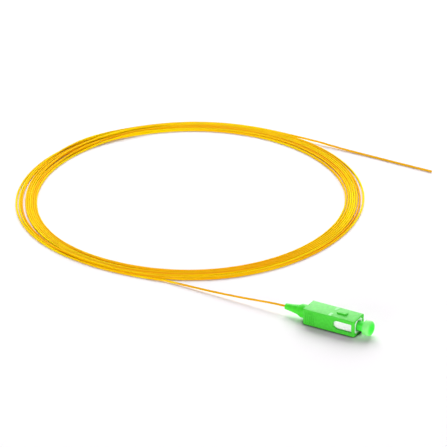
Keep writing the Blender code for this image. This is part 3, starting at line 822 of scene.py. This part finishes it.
def make_frame_shell(white):
    """The white body in the sleeve: a chamfered round socket in front and a latch recess in each side."""
    ends = rounded_ends(FRAME_REAR_X, FRAME_FRONT_X, FRAME_REAR_ROUND, FRAME_FRONT_ROUND)
    body = block_mesh("frame", FRAME_WIDTH, FRAME_HEIGHT, FRAME_CORNER, ends, ON_AXIS, steps=1)
    floor = FRAME_FRONT_X - SOCKET_DEPTH
    bore = turned_mesh(
        "bore",
        [
            (FRAME_FRONT_X + OVERCUT, 0),
            (FRAME_FRONT_X + OVERCUT, SOCKET_RADIUS + SOCKET_CHAMFER + OVERCUT),
            (FRAME_FRONT_X - SOCKET_CHAMFER, SOCKET_RADIUS),
            (floor, SOCKET_RADIUS),
            (floor, WEB_HOLE_RADIUS),
            (floor - WEB_THICKNESS, WEB_HOLE_RADIUS),
            (floor - WEB_THICKNESS, CHAMBER_RADIUS),
            (FRAME_REAR_X - OVERCUT, CHAMBER_RADIUS),
            (FRAME_REAR_X - OVERCUT, 0),
        ],
    )
    front = HOUSING_FRONT_X - WINDOW_BEHIND_FRONT - LATCH_RECESS_BEHIND_WINDOW
    rear = front - LATCH_RECESS_LENGTH
    outline = cut_rectangle(
        front, rear, LATCH_RECESS_HEIGHT / 2, LATCH_RECESS_FRONT_CUT, LATCH_RECESS_REAR_CUT
    )
    deep = FRAME_WIDTH / 2 - LATCH_RECESS_DEPTH
    near = side_prism("near", outline, -FRAME_WIDTH, -deep)
    far = side_prism("far", outline, deep, FRAME_WIDTH)
    mesh = shaped(body, [bore, near, far], [], FRAME_EDGE)
    frame_piece = add_piece("frame_shell", mesh, white, "plug")
    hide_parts("plug_frame")


def make_boot():
    """The soft sleeve on the fibre: a shoulder in the housing's rear hole, a flare, a taper and a bead."""
    (low_x, _, _), (high_x, _, _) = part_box("boot")
    shoulder_front = HOUSING_REAR_X + REAR_WALL
    shoulder_rear = HOUSING_REAR_X - BOOT_SHOULDER_LENGTH
    taper_front = shoulder_rear - BOOT_FLARE_LENGTH
    outline = [
        (high_x, BOOT_BORE_RADIUS),
        (high_x, BOOT_COLLAR_RADIUS - BOOT_COLLAR_CHAMFER),
        (high_x - BOOT_COLLAR_CHAMFER, BOOT_COLLAR_RADIUS),
        (shoulder_front, BOOT_COLLAR_RADIUS),
        (shoulder_front, BOOT_SHOULDER_RADIUS - BOOT_SHOULDER_ROUND),
        (shoulder_front - BOOT_SHOULDER_ROUND, BOOT_SHOULDER_RADIUS),
    ]
    for i in range(BOOT_STEPS + 1):
        share = i / BOOT_STEPS
        drop = BOOT_SHOULDER_RADIUS - BOOT_FRONT_RADIUS
        radius = BOOT_FRONT_RADIUS + drop * (1 + math.cos(math.pi * share)) / 2
        outline.append((shoulder_rear - BOOT_FLARE_LENGTH * share, radius))
    for i in range(1, BOOT_STEPS + 1):
        share = i / BOOT_STEPS
        x = taper_front + (low_x + BOOT_BEAD_LENGTH - taper_front) * share
        sag = BOOT_HOLLOW * math.sin(math.pi * share)
        outline.append((x, BOOT_FRONT_RADIUS + (BOOT_REAR_RADIUS - BOOT_FRONT_RADIUS) * share - sag))
    for i in range(1, BEAD_STEPS + 1):
        angle = math.pi / 2 * i / BEAD_STEPS
        x = low_x + BOOT_BEAD_LENGTH * (1 - math.sin(angle))
        outline.append((x, BOOT_REAR_RADIUS - BOOT_BEAD_DROP * (1 - math.cos(angle))))
    outline.append((low_x, FIBRE_RADIUS + BOOT_MOUTH_GAP))
    outline.append((low_x + BOOT_MOUTH_DEPTH, FIBRE_RADIUS + BOOT_FIBRE_GAP))
    outline.append((BOOT_STEM_END_X, FIBRE_RADIUS + BOOT_FIBRE_GAP))
    outline.append((BOOT_STEM_END_X, BOOT_BORE_RADIUS))
    mesh = turned_mesh("boot_shell", outline, closed=True)
    green = make_plastic("green_boot", BOOT_DARK, BOOT_LIGHT, **BOOT_FINISH)
    boot = add_piece("boot_shell", mesh, green, "plug")
    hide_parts("boot")


def make_cap():
    """The dust cap: a neck over the ferrule and a round head with a slightly domed front."""
    (low_x, _, _), (high_x, _, _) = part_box("dust_cap")
    head_rear = high_x - CAP_HEAD_LENGTH
    outline = [
        (high_x - CAP_END_WALL, 0),
        (high_x - CAP_END_WALL, CAP_BORE_RADIUS - CAP_BORE_CHAMFER),
        (high_x - CAP_END_WALL - CAP_BORE_CHAMFER, CAP_BORE_RADIUS),
        (low_x, CAP_BORE_RADIUS),
        (low_x, CAP_NECK_RADIUS - CAP_NECK_TAPER),
        (low_x + CAP_NECK_TAPER_LENGTH, CAP_NECK_RADIUS),
        (head_rear - CAP_FILLET, CAP_NECK_RADIUS),
    ]
    for i in range(1, CAP_STEPS + 1):
        angle = math.pi / 2 * i / CAP_STEPS
        x = head_rear - CAP_FILLET * (1 - math.sin(angle))
        outline.append((x, CAP_NECK_RADIUS + CAP_FILLET * (1 - math.cos(angle))))
    face_x = high_x - CAP_DOME
    head_corners = (
        (head_rear + CAP_REAR_ROUND, CAP_REAR_ROUND, math.pi),
        (face_x - CAP_FRONT_ROUND, CAP_FRONT_ROUND, math.pi / 2),
    )
    for middle_x, rounding, start in head_corners:
        for i in range(CAP_STEPS + 1):
            angle = start - math.pi / 2 * i / CAP_STEPS
            x = middle_x + rounding * math.cos(angle)
            outline.append((x, CAP_HEAD_RADIUS - rounding + rounding * math.sin(angle)))
    face_radius = CAP_HEAD_RADIUS - CAP_FRONT_ROUND
    for i in range(1, CAP_STEPS + 1):
        angle = math.pi / 2 * i / CAP_STEPS
        outline.append((face_x + CAP_DOME * math.sin(angle), max(0.0, face_radius * math.cos(angle))))
    mesh = turned_mesh("cap_shell", outline)
    cap = add_piece("cap_shell", mesh, make_cap_material(), "cap")
    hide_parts("dust_cap")


def dress_inner_parts(white):
    """Finishes for the CAD parts inside the plug that keep their shape."""
    zirconia = make_plastic("zirconia", ZIRCONIA_DARK, ZIRCONIA_LIGHT, **ZIRCONIA_FINISH)
    nickel = make_turned_metal("nickel", NICKEL_DARK, NICKEL_LIGHT, **NICKEL_FINISH)
    steel = make_turned_metal("spring_steel", STEEL_DARK, STEEL_LIGHT, **STEEL_FINISH)
    buffer = bpy.data.materials["yellow_buffer"]
    dressed = (
        ("ferrule", zirconia),
        ("ferrule_flange", nickel),
        ("spring", steel),
        ("stop_body", white),
        ("inner_fibre", buffer),
    )
    for name, material in dressed:
        obj = bpy.data.objects[name]
        obj.data.materials.clear()
        obj.data.materials.append(material)
    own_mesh(bpy.data.objects["spring"])


def fade_along_plug(made, along, fade):
    """1 along the housing, and down to 0 near its ends, from fade[0] to fade[1] beyond each of them."""
    half_length = (HOUSING_FRONT_X - HOUSING_REAR_X) / 2
    middle = add_node(made, "ShaderNodeMath", operation="SUBTRACT")
    middle.inputs[1].default_value = (HOUSING_REAR_X + HOUSING_FRONT_X) / 2
    off = add_node(made, "ShaderNodeMath", operation="ABSOLUTE")
    near = add_node(made, "ShaderNodeMapRange")
    near.inputs["From Min"].default_value = half_length + fade[0]
    near.inputs["From Max"].default_value = half_length + fade[1]
    near.inputs["To Min"].default_value = 1.0
    near.inputs["To Max"].default_value = 0.0
    join(made, along, middle.inputs[0])
    join(made, middle.outputs["Value"], off.inputs[0])
    join(made, off.outputs["Value"], near.inputs["Value"])
    return near.outputs["Result"]


def make_floor_material():
    """Pale floor with a painted contact shadow, a dark line where the housing stands on it, and a painted
    tint that keeps the shadow in front of it neutral.
    """
    made, shader = new_material("floor")
    place = add_node(made, "ShaderNodeTexCoord")
    split = add_node(made, "ShaderNodeSeparateXYZ")
    across = add_node(made, "ShaderNodeMapRange")
    across.inputs["From Min"].default_value = SHADOW_EDGE_Y
    across.inputs["From Max"].default_value = 0.0
    tints = add_ramp(made, FLOOR_COLOUR, FLOOR_COLOUR, 0.0, 1.0)
    for position, green in SHADOW_TINTS:
        tints.color_ramp.elements.new(position).color = (FLOOR_COLOUR[0], green, FLOOR_COLOUR[2], 1)
    shade = add_node(made, "ShaderNodeMix", data_type="RGBA")
    shade.inputs["A"].default_value = (*FLOOR_COLOUR, 1)
    join(made, place.outputs["Object"], split.inputs["Vector"])
    join(made, split.outputs["Y"], across.inputs["Value"])
    join(made, across.outputs["Result"], tints.inputs["Fac"])
    join(made, fade_along_plug(made, split.outputs["X"], SHADOW_FADE), shade.inputs["Factor"])
    join(made, tints.outputs["Color"], shade.inputs["B"])
    # Painted contact shadow: the floor's colour darkens where the housing's base hides it from the light
    contact = add_node(made, "ShaderNodeAmbientOcclusion", samples=CONTACT_SAMPLES)
    contact.inputs["Distance"].default_value = CONTACT_REACH
    dark = add_ramp(made, PAINTED_CONTACT_SHADOW, (1.0, 1.0, 1.0), *CONTACT_RANGE)
    line = add_node(made, "ShaderNodeMix", data_type="RGBA", blend_type="MULTIPLY")
    join(made, contact.outputs["AO"], dark.inputs["Fac"])
    join(made, fade_along_plug(made, split.outputs["X"], CONTACT_FADE), line.inputs["Factor"])
    join(made, shade.outputs["Result"], line.inputs["A"])
    join(made, dark.outputs["Color"], line.inputs["B"])
    join(made, line.outputs["Result"], shader.inputs["Base Color"])
    shader.inputs["Roughness"].default_value = FLOOR_ROUGHNESS
    return made


def make_floor():
    bpy.ops.mesh.primitive_plane_add(size=FLOOR_SIZE)
    floor = bpy.context.object
    floor.name = "floor"
    floor.data.materials.append(make_floor_material())


def make_sky():
    """White light from all round, strongest at the horizon."""
    world = bpy.data.worlds.new("studio")
    bpy.context.scene.world = world
    world.use_nodes = True
    background = world.node_tree.nodes["Background"]
    background.inputs["Color"].default_value = (1, 1, 1, 1)
    direction = add_node(world, "ShaderNodeTexCoord")
    split = add_node(world, "ShaderNodeSeparateXYZ")
    fade = add_node(world, "ShaderNodeMapRange")
    fade.inputs["To Min"].default_value = LIGHT_AT_HORIZON
    fade.inputs["To Max"].default_value = LIGHT_OVERHEAD
    join(world, direction.outputs["Generated"], split.inputs["Vector"])
    join(world, split.outputs["Z"], fade.inputs["Value"])
    join(world, fade.outputs["Result"], background.inputs["Strength"])


def make_lights():
    for name, power, width, height, place in LIGHTS:
        light = bpy.data.lights.new(name, "AREA")
        light.shape = "RECTANGLE"
        light.energy = power
        light.size = width
        light.size_y = height
        lamp = bpy.data.objects.new(name, light)
        lamp.location = place
        lamp.rotation_euler = (-Vector(place)).to_track_quat("-Z", "Y").to_euler()
        bpy.context.scene.collection.objects.link(lamp)


make_camera()
make_cord()
white_plastic = make_plastic("white_frame", FRAME_DARK, FRAME_LIGHT, **FRAME_FINISH)
make_housing()
make_marks()
make_frame_shell(white_plastic)
make_boot()
make_cap()
dress_inner_parts(white_plastic)
make_floor()
make_sky()
make_lights()
bpy.context.scene.view_settings.view_transform = "Standard"
